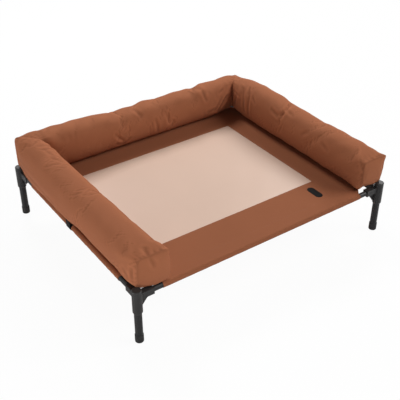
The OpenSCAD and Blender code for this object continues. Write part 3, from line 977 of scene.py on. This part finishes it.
def ring_places():
    """Every ring as (run, place along it), from the right front end round to the left one."""
    right = [(RIGHT, i / SIDE_ROWS * SIDE_RUN) for i in range(SIDE_ROWS + 1)]
    back = [(BACK, i / BACK_ROWS * BACK_RUN) for i in range(1, BACK_ROWS + 1)]
    left = [(LEFT, (1 - i / SIDE_ROWS) * SIDE_RUN) for i in range(1, SIDE_ROWS + 1)]
    return right + back + left


def bolster_rings():
    """The points of every ring, and its (run, place, distance to a mitre)."""
    rings, tags = [], []
    for run, s in ring_places():
        if run == BACK:
            to_mitre = min(s, BACK_RUN - s)
            out, up = bolster_section(run, s, FAR, to_mitre)
            x, y = (1 - 2 * s / BACK_RUN) * (BOLSTER_X + out), BOLSTER_Y + out
        else:
            to_mitre = SIDE_RUN - s
            out, up = bolster_section(run, s, s, to_mitre)
            x, y = (BOLSTER_X + out) * (1 if run == RIGHT else -1), BOLSTER_FRONT + s * (1 + out / SIDE_RUN)
        rings.append(np.stack([x, y, up], 1))
        tags.append((run, s, to_mitre))
    rings, tags = np.array(rings), np.array(tags)
    on_right = np.arange(len(tags)) < SIDE_ROWS + BACK_ROWS / 2
    near_right = close_to(np.abs(tags[:, 2]), SHIFT_REACH) * on_right
    rings += near_right[:, None, None] * RIGHT_MITRE_SHIFT
    rings[..., 2] -= CORNER_SAG * open_corner(rings) * ease((BASE + 8 * MM - rings[..., 2]) / (6 * MM))
    return rings, tags


rings, tags = bolster_rings()
ring_count = len(rings)
seams = [0, SIDE_ROWS, SIDE_ROWS + BACK_ROWS, ring_count - 1]
print("bolster rings", rings.shape)

# %% [markdown]
# Cloth needs a reason to fold. Soft waves are pressed into the rings before the run, stronger inside the
# mitres, and a map says where there is spare cloth: half a hundredth on the left side, a hundredth
# elsewhere, and several times that inside the mitres, at the kink and at the dents.

# %% Folds before the run
# Length round the tube, in metres
GIRTH = 0.36
PUCKER_PITCH, PUCKER_REACH, SPARE_REACH = 33 * MM, 70 * MM, 90 * MM
SPOT_LENGTH, SPOT_ROUND = 45 * MM, 0.16


def wobble(seed, across, along, length_across, length_along):
    """A smooth repeatable unevenness: a few sines at odd angles."""
    rng = np.random.default_rng(seed)
    total = np.zeros_like(along)
    for _ in range(6):
        fa, fs = rng.uniform(0.5, 1.3, 2)
        turn = rng.choice([-1, 1]) * fa * across / length_across + fs * along / length_along
        total += np.sin(FULL_TURN * turn + rng.uniform(0, FULL_TURN))
    return total / math.sqrt(6)


u = np.tile(np.arange(AROUND) / AROUND, (ring_count, 1))
run = np.tile(tags[:, :1], (1, AROUND))
place = np.tile(tags[:, 1:2], (1, AROUND))
to_mitre = np.tile(tags[:, 2:3], (1, AROUND))
across = (u - 0.5) * GIRTH
inner_side = np.exp(-((u - 0.50) / 0.17) ** 2)
at_right = (run == RIGHT) | ((run == BACK) & (place < BACK_RUN / 2))
calm = np.where(run == LEFT, 0.5, 1.0)
push = 1.2 * MM * wobble(3, across, place + run, 0.20, 0.18)
push += 0.5 * MM * wobble(5, across, place + run, 0.06, 0.07)
push *= calm
slant_of_fold = np.where(run == BACK, 0.55, 0.12)
odd = 2.2 * wobble(9, across, to_mitre + run, 0.10, 0.16)
pucker = np.sin(FULL_TURN * (to_mitre + slant_of_fold * across) / PUCKER_PITCH + odd)
push += np.where(at_right, 1.3, 1.1) * MM * pucker * inner_side * np.exp(-to_mitre / PUCKER_REACH)
push[seams] = 0

spare = 0.011 * calm
spare += np.where(at_right, 0.06, 0.04) * inner_side * np.exp(-to_mitre / SPARE_REACH)
# Run, place in mm, way round (a quarter is the top, a half the inner face) and spare cloth
SPARE_SPOTS = [
    (RIGHT, 405, 0.36, 0.05), (BACK, 195, 0.36, 0.04), (BACK, 500, 0.36, 0.04), (BACK, 580, 0.5, 0.03),
    (LEFT, 600, 0.36, 0.04), (LEFT, 20, 0.25, 0.03), (RIGHT, 25, 0.35, 0.03),
]
for at_run, at_place, at_u, amount in SPARE_SPOTS:
    spot = np.exp(-((place - at_place * MM) / SPOT_LENGTH) ** 2 - ((u - at_u) / SPOT_ROUND) ** 2)
    spare += amount * spot * (run == at_run)
print("spare cloth, least and most", round(float(spare.min()), 3), round(float(spare.max()), 3))

# %% [markdown]
# The rings become one closed mesh of quads, with the two end panels filled in between the four sides of
# their seams, and a cloth map in metres.

# %% Bolster mesh
def outward(points):
    """Directions out of the tube at each ring point."""
    along = np.gradient(points, axis=0)
    around = np.roll(points, -1, 1) - np.roll(points, 1, 1)
    normal = np.cross(around, along)
    normal /= np.linalg.norm(normal, axis=2, keepdims=True)
    if ((points - points.mean(1, keepdims=True)) * normal).sum() < 0:
        normal = -normal
    return normal


def end_panel(loop):
    """Inner points of a panel, and its quads as numbers of the loop and then of the inner points."""
    n = AROUND // 4
    first = AROUND // 8
    grid = np.zeros((n + 1, n + 1), int)
    for j in range(n + 1):
        grid[j, n] = (first - n + j) % AROUND
        grid[n, n - j] = (first + j) % AROUND
        grid[n - j, 0] = (first + n + j) % AROUND
        grid[0, j] = (first + 2 * n + j) % AROUND
    points = []
    for a in range(1, n):
        for b in range(1, n):
            s, t = a / n, b / n
            sides = (1 - s) * loop[grid[0, b]] + s * loop[grid[n, b]]
            ends = (1 - t) * loop[grid[a, 0]] + t * loop[grid[a, n]]
            corners = (1 - s) * (1 - t) * loop[grid[0, 0]] + s * (1 - t) * loop[grid[n, 0]]
            corners = corners + (1 - s) * t * loop[grid[0, n]] + s * t * loop[grid[n, n]]
            dome = math.sqrt(16 * s * (1 - s) * t * (1 - t))
            points.append(sides + ends - corners - np.array([0, PANEL_BULGE * dome, 0]))
            grid[a, b] = AROUND + len(points) - 1
    quads = [
        (grid[a, b], grid[a + 1, b], grid[a + 1, b + 1], grid[a, b + 1])
        for a in range(n) for b in range(n)
    ]
    return np.array(points), np.array(quads)


def bolster_mesh():
    """The cushion with its folds pressed in, and its points without them."""
    folded = rings + outward(rings) * push[..., None]
    i, j = np.meshgrid(np.arange(ring_count - 1), np.arange(AROUND), indexing="ij")
    k = (j + 1) % AROUND
    quads = np.stack([i * AROUND + j, (i + 1) * AROUND + j, (i + 1) * AROUND + k, i * AROUND + k], -1)
    step = GIRTH / AROUND
    near_row, far_row = i * CELL, (i + 1) * CELL
    flat = np.stack([
        np.stack([j * step, near_row], -1), np.stack([j * step, far_row], -1),
        np.stack([(j + 1) * step, far_row], -1), np.stack([(j + 1) * step, near_row], -1)], 2)
    points, rest = [folded.reshape(-1, 3)], [rings.reshape(-1, 3)]
    faces, flat_map = [quads.reshape(-1, 4)], [flat.reshape(-1, 2)]
    count = ring_count * AROUND
    for ring, turned in ((0, True), (ring_count - 1, False)):
        inner, panel_quads = end_panel(rings[ring])
        numbers = np.concatenate([ring * AROUND + np.arange(AROUND), count + np.arange(len(inner))])
        own = numbers[panel_quads[:, ::-1] if turned else panel_quads]
        points.append(inner)
        rest.append(inner)
        faces.append(own)
        flat_map.append(np.concatenate(rest)[own.ravel()][:, [0, 2]])
        count += len(inner)
    points, faces, flat_map = np.concatenate(points), np.concatenate(faces), np.concatenate(flat_map)
    return cloth_mesh("bolster_cushion", points, faces, flat_map), np.concatenate(rest)


bolster, rest = bolster_mesh()
check = bmesh.new()
check.from_mesh(bolster.data)
if check.calc_volume(signed=True) < 0:
    bolster.data.flip_normals()
print("bolster points", len(rest), "litres", round(abs(check.calc_volume()) * 1000, 1))
check.free()

# %% [markdown]
# The seams are pinned and the cloth is run with pressure inside: it swells, kinks and puckers by itself.
# A weak hold stands for the filling, and the base stays where it lies. A plain collider stands in for the
# sling and the posts and is removed after the run.

# %% Run the cloth
CLOTH_FRAMES = 28
# How firmly all points are held, how much more the base is, and how high the base goes
HOLD_ALL, HOLD_BASE, BASE_HEIGHT = 0.06, 0.40, 18 * MM
PANEL_SPARE = 0.03
POST_X, POST_Y, POST_R, POST_TOP = 443 * MM, 367 * MM, 14 * MM, 180 * MM


def cloth_collider():
    """Boxes for the sling and drums for the posts."""
    solid = bmesh.new()
    floor_low = SLING_TOP - 20 * MM
    boxes = [((-RAIL_X, -SLEEVE_Y, floor_low), (RAIL_X, SLEEVE_Y, SLING_TOP)),
             ((-SLEEVE_X, -RAIL_Y, floor_low), (SLEEVE_X, RAIL_Y, SLING_TOP))]
    for low, high in boxes:
        made = bmesh.ops.create_cube(solid, size=1)
        for vert in made["verts"]:
            vert.co = [l if c < 0 else h for l, h, c in zip(low, high, vert.co)]
    depth = 70 * MM
    for sx in (-1, 1):
        for sy in (-1, 1):
            made = bmesh.ops.create_cone(solid, cap_ends=True, segments=24, radius1=POST_R,
                                         radius2=POST_R, depth=depth)
            middle = (sx * POST_X, sy * POST_Y, POST_TOP - depth / 2)
            bmesh.ops.translate(solid, verts=made["verts"], vec=middle)
    mesh = bpy.data.meshes.new("cloth_collider")
    solid.to_mesh(mesh)
    solid.free()
    block = put("cloth_collider", mesh)
    block.modifiers.new("Collision", "COLLISION")
    block.collision.thickness_outer = 1.0 * MM
    block.collision.cloth_friction = 8
    return block


def weigh(piece, name, values, steps):
    """A vertex group from an array of weights, in steps."""
    group = piece.vertex_groups.new(name=name)
    rounded = np.round(values * steps) / steps
    for value in np.unique(rounded):
        group.add(np.nonzero(rounded == value)[0].tolist(), float(value), "REPLACE")


def run_cloth(piece):
    """Pin the seams, swell the cushion for a few frames and keep what comes out."""
    hold = HOLD_ALL + HOLD_BASE * np.clip((BASE + BASE_HEIGHT - rest[:, 2]) / BASE_HEIGHT, 0, 1)
    for ring in seams:
        hold[ring * AROUND:(ring + 1) * AROUND] = 1.0
    weigh(piece, "hold", hold, 50)
    slack = np.concatenate([spare.ravel(), np.full(len(rest) - ring_count * AROUND, PANEL_SPARE)])
    weigh(piece, "spare", (slack - slack.min()) / (slack.max() - slack.min()), 40)
    cloth = piece.modifiers.new("Cloth", "CLOTH")
    settings = cloth.settings
    settings.quality = 5
    settings.mass = 0.15
    settings.air_damping = 2
    settings.tension_stiffness = 12
    settings.compression_stiffness = 12
    settings.shear_stiffness = 4
    settings.bending_stiffness = 0.3
    settings.use_pressure = True
    settings.uniform_pressure_force = 14
    settings.vertex_group_mass = "hold"
    settings.pin_stiffness = 0.6
    settings.vertex_group_shrink = "spare"
    settings.shrink_min = -float(slack.min())
    settings.shrink_max = -float(slack.max())
    settings.effector_weights.gravity = 0
    cloth.collision_settings.use_collision = True
    cloth.collision_settings.distance_min = 1.0 * MM
    scene.frame_start, scene.frame_end = 1, CLOTH_FRAMES
    cloth.point_cache.frame_start, cloth.point_cache.frame_end = 1, CLOTH_FRAMES
    for step in range(1, CLOTH_FRAMES + 1):
        scene.frame_set(step)
    only(piece)
    bpy.ops.object.modifier_apply(modifier=cloth.name)
    scene.frame_set(1)
    piece.vertex_groups.clear()


collider = cloth_collider()
run_cloth(bolster)
bpy.data.objects.remove(collider)
settled = np.empty(len(rest) * 3, np.float32)
bolster.data.vertices.foreach_get("co", settled)
settled = settled.reshape(-1, 3).astype(float)
far = np.linalg.norm(settled - rest, axis=1)
print("cloth moved mm, middle, 95 in 100 and most", np.round(1000 * np.percentile(far, [50, 95, 100]), 1))

# %% [markdown]
# The run gives two things: the cushion drifts as a whole, and the cloth folds. Its shape is already
# measured, so most of the slow drift is taken out again and the folds are kept. Then the sharp creases of
# the photograph are pressed in as short lines on the cloth map, the seams pucker a little, and nothing
# may sink into the sling or the posts.

# %% Folds and creases after the run
TUBE = ring_count * AROUND
MOST_MOVE, DRIFT_PASSES = 14 * MM, 60
# Run, start and end as (place in mm, way round), depth and half width in mm
CREASES = [
    (RIGHT, (642, 0.33), (637, 0.50), 2.2, 6), (RIGHT, (632, 0.34), (616, 0.56), 3.2, 6),
    (RIGHT, (600, 0.31), (605, 0.37), 2.4, 5), (RIGHT, (597, 0.36), (594, 0.57), 3.6, 6),
    (RIGHT, (675, 0.41), (648, 0.43), 2.4, 5), (RIGHT, (663, 0.44), (673, 0.58), 2.6, 5),
    (RIGHT, (576, 0.39), (559, 0.43), 1.8, 5), (RIGHT, (389, 0.21), (397, 0.31), 2.6, 7),
    (RIGHT, (397, 0.31), (409, 0.40), 3.0, 6), (RIGHT, (392, 0.32), (360, 0.33), 1.6, 6),
    (RIGHT, (465, 0.40), (433, 0.42), 2.6, 6), (RIGHT, (433, 0.42), (404, 0.37), 2.0, 6),
    (RIGHT, (266, 0.39), (292, 0.44), 1.6, 6), (RIGHT, (193, 0.42), (162, 0.45), 1.6, 6),
    (RIGHT, (14, 0.36), (2, 0.42), 2.6, 5), (BACK, (24, 0.48), (57, 0.56), 4.2, 6),
    (BACK, (57, 0.56), (73, 0.60), 3.4, 6), (BACK, (47, 0.39), (68, 0.40), 1.6, 5),
    (BACK, (57, 0.48), (85, 0.57), 2.0, 8), (BACK, (83, 0.57), (125, 0.56), 1.6, 7),
    (BACK, (171, 0.28), (140, 0.36), 2.2, 7), (BACK, (151, 0.35), (134, 0.43), 2.6, 6),
    (BACK, (322, 0.43), (312, 0.53), 2.0, 6), (BACK, (372, 0.47), (363, 0.60), 2.2, 6),
    (BACK, (441, 0.30), (431, 0.38), 2.4, 7), (BACK, (550, 0.50), (514, 0.58), 2.6, 6),
    (BACK, (546, 0.60), (510, 0.62), 2.4, 6), (BACK, (510, 0.62), (488, 0.56), 2.2, 6),
    (LEFT, (670, 0.31), (683, 0.38), 2.0, 6), (LEFT, (626, 0.25), (665, 0.40), 2.2, 6),
    (LEFT, (605, 0.24), (634, 0.34), 2.0, 6), (LEFT, (605, 0.26), (559, 0.27), 1.6, 6),
    (LEFT, (506, 0.17), (508, 0.25), 1.8, 6), (LEFT, (553, 0.25), (527, 0.29), 1.6, 6),
    (LEFT, (24, 0.23), (1, 0.19), 2.8, 6), (LEFT, (17, 0.02), (19, 0.92), 2.0, 5),
    (LEFT, (44, 0.98), (32, 0.93), 2.0, 6), (LEFT, (640, 0.94), (420, 0.93), 2.0, 9),
]
# Across and up on the left end panel, start and end
PANEL_CREASE = np.array([(-399, 264), (-389, 234)]) * MM
PANEL_CREASE_DEPTH, PANEL_CREASE_HALF = 3.5 * MM, 5 * MM
# How deep the seams pucker, how far apart and how far from the seam
GATHER, GATHER_PITCH, GATHER_REACH = 0.8 * MM, 15 * MM, 14 * MM
# How far the cloth clears the sling and a post, and how the ground falls away beyond a post's rim
SLING_GAP, POST_GAP, POST_RIM, POST_FALL, FALL_REACH = 0.4 * MM, 0.8 * MM, 1.5 * MM, 16 * MM, 9 * MM


def slow_part(field, passes):
    """A movement blurred along and around the tube."""
    slow = field.copy()
    for _ in range(passes):
        before = np.concatenate([slow[:1], slow[:-1]])
        after = np.concatenate([slow[1:], slow[-1:]])
        slow = (slow * 2 + before + after + np.roll(slow, 1, 1) + np.roll(slow, -1, 1)) / 6
    return slow


def groove(spots, line, half):
    """A groove along a line from the origin, with a low ridge on both sides, fading to its ends."""
    share = np.clip(spots @ line / (line @ line), 0, 1)
    beside = np.linalg.norm(spots - share[..., None] * line, axis=-1) / half
    profile = np.exp(-beside ** 2) - 0.45 * np.exp(-(beside - 1.9) ** 2)
    return profile * (0.35 + 0.65 * np.sin(np.pi * (0.1 + 0.8 * share)))


def crease_depth():
    """How far each tube point is pressed in."""
    pressed = np.zeros((ring_count, AROUND))
    for at_run, (s0, u0), (s1, u1), depth, half in CREASES:
        line = np.array([(s1 - s0) * MM, ((u1 - u0 + 0.5) % 1 - 0.5) * GIRTH])
        spots = np.stack([place - s0 * MM, ((u - u0 + 0.5) % 1 - 0.5) * GIRTH], -1)
        pressed += depth * MM * groove(spots, line, half * MM) * (run == at_run)
    return pressed


tube = (settled - rest)[:TUBE].reshape(ring_count, AROUND, 3)
tube = tube - slow_part(tube, DRIFT_PASSES)
far = np.linalg.norm(tube, axis=2, keepdims=True)
tube *= np.minimum(1, MOST_MOVE / np.maximum(far, 1e-9))
to_seam = np.abs(np.arange(ring_count)[:, None] - np.array(seams)[None, :]).min(1)[:, None] * CELL
gather = GATHER * np.sin(FULL_TURN * u * GIRTH / GATHER_PITCH + odd) * np.exp(-to_seam / GATHER_REACH)
inward = crease_depth() + gather
inward[seams] = 0
tube -= outward(rings) * inward[..., None]
tube[seams] = 0
settled[:TUBE] = rest[:TUBE] + tube.reshape(-1, 3)
panels = settled[TUBE:]
panel_line = PANEL_CREASE[1] - PANEL_CREASE[0]
on_panel = groove(panels[:, [0, 2]] - PANEL_CREASE[0], panel_line, PANEL_CREASE_HALF) * (panels[:, 0] < 0)
panels[:, 1] += PANEL_CREASE_DEPTH * on_panel
settled[:, 2] = np.maximum(settled[:, 2], SLING_TOP + SLING_GAP - CORNER_SAG * open_corner(settled))
for sx in (-1, 1):
    for sy in (-1, 1):
        from_post = np.hypot(settled[:, 0] - sx * POST_X, settled[:, 1] - sy * POST_Y)
        floor_here = POST_TOP + POST_GAP - POST_FALL * ease((from_post - POST_R - POST_RIM) / FALL_REACH)
        settled[:, 2] = np.maximum(settled[:, 2], floor_here)
print("creases", len(CREASES) + 1, "deepest in mm", round(1000 * float(inward.max()), 1))

# %% [markdown]
# The map of wear and painted shade is measured on the result. Where a point stands proud of its neighbours,
# the cloth is on a ridge that rubs pale. Where it lies behind them, it is in a groove that gets painted
# shade, and the seams count as grooves.
# One subdivision rounds the quads, and the seams are creased so that they stay sharp.

# %% Map of wear and painted shade, seams and finish
# How far a full ridge stands proud, and the painted shade of a seam
RIDGE, SEAM_PAINTED_SHADE = 0.6 * MM, -0.9


def wear_and_shade_map(points):
    """1 on the ridges of the tube and -1 in its grooves, where the colour gets painted shade."""
    tube = points[:TUBE].reshape(ring_count, AROUND, 3)
    before = np.concatenate([tube[:1], tube[:-1]])
    after = np.concatenate([tube[1:], tube[-1:]])
    mean = (np.roll(tube, 1, 1) + np.roll(tube, -1, 1) + before + after) / 4
    proud = ((tube - mean) * outward(tube)).sum(2)
    wear_and_shade = np.clip((proud - np.median(proud)) / RIDGE, -1, 1)
    # Seams count as grooves and get painted shade
    wear_and_shade[[seams[0], seams[3]]] = SEAM_PAINTED_SHADE
    wear_and_shade[[seams[1], seams[2]]] = SEAM_PAINTED_SHADE * inner_side[0]
    return wear_and_shade.ravel()


wear_and_shade = np.zeros(len(rest))
wear_and_shade[:TUBE] = wear_and_shade_map(settled)
# The crease on the left end panel gets painted shade along its line
wear_and_shade[TUBE:] = SEAM_PAINTED_SHADE * on_panel
bolster.data.vertices.foreach_set("co", settled.astype(np.float32).ravel())
attribute = bolster.data.attributes.new("wear_and_painted_shade", "FLOAT", "POINT")
attribute.data.foreach_set("value", wear_and_shade.astype(np.float32))
crease = bolster.data.attributes.new("crease_edge", "FLOAT", "EDGE")


def seam_sharpness(first, second):
    """1 on the seams that show, 0 elsewhere. The end panels are sewn sharp at the top and along one side."""
    ring, way = divmod(min(first, second), AROUND)
    if ring not in seams or max(first, second) // AROUND != ring:
        return 0.0
    if ring == seams[0]:
        return 1.0 if 0.12 < way / AROUND < 0.60 else 0.3
    if ring == seams[3]:
        return 1.0 if way / AROUND < 0.36 or way / AROUND > 0.88 else 0.0
    return 1.0


sharp = [seam_sharpness(*edge.vertices) for edge in bolster.data.edges]
crease.data.foreach_set("value", np.array(sharp, np.float32))
bolster.data.update()
add_modifier(bolster, "SUBSURF", levels=1, render_levels=1)
dress(bolster, "bolster", "bolster_cloth", bolster_brown_painted_lighter,
      "left_bolster_cover", "right_bolster_cover", "back_bolster_cover", "left_bolster_fill",
      "right_bolster_fill", "back_bolster_fill", "left_end_panel", "right_end_panel")

# %% [markdown]
# Last, the view layer is updated. Cloth may stand a little proud of the solids, and no more.

# %% Update the view layer
bpy.context.view_layer.update()
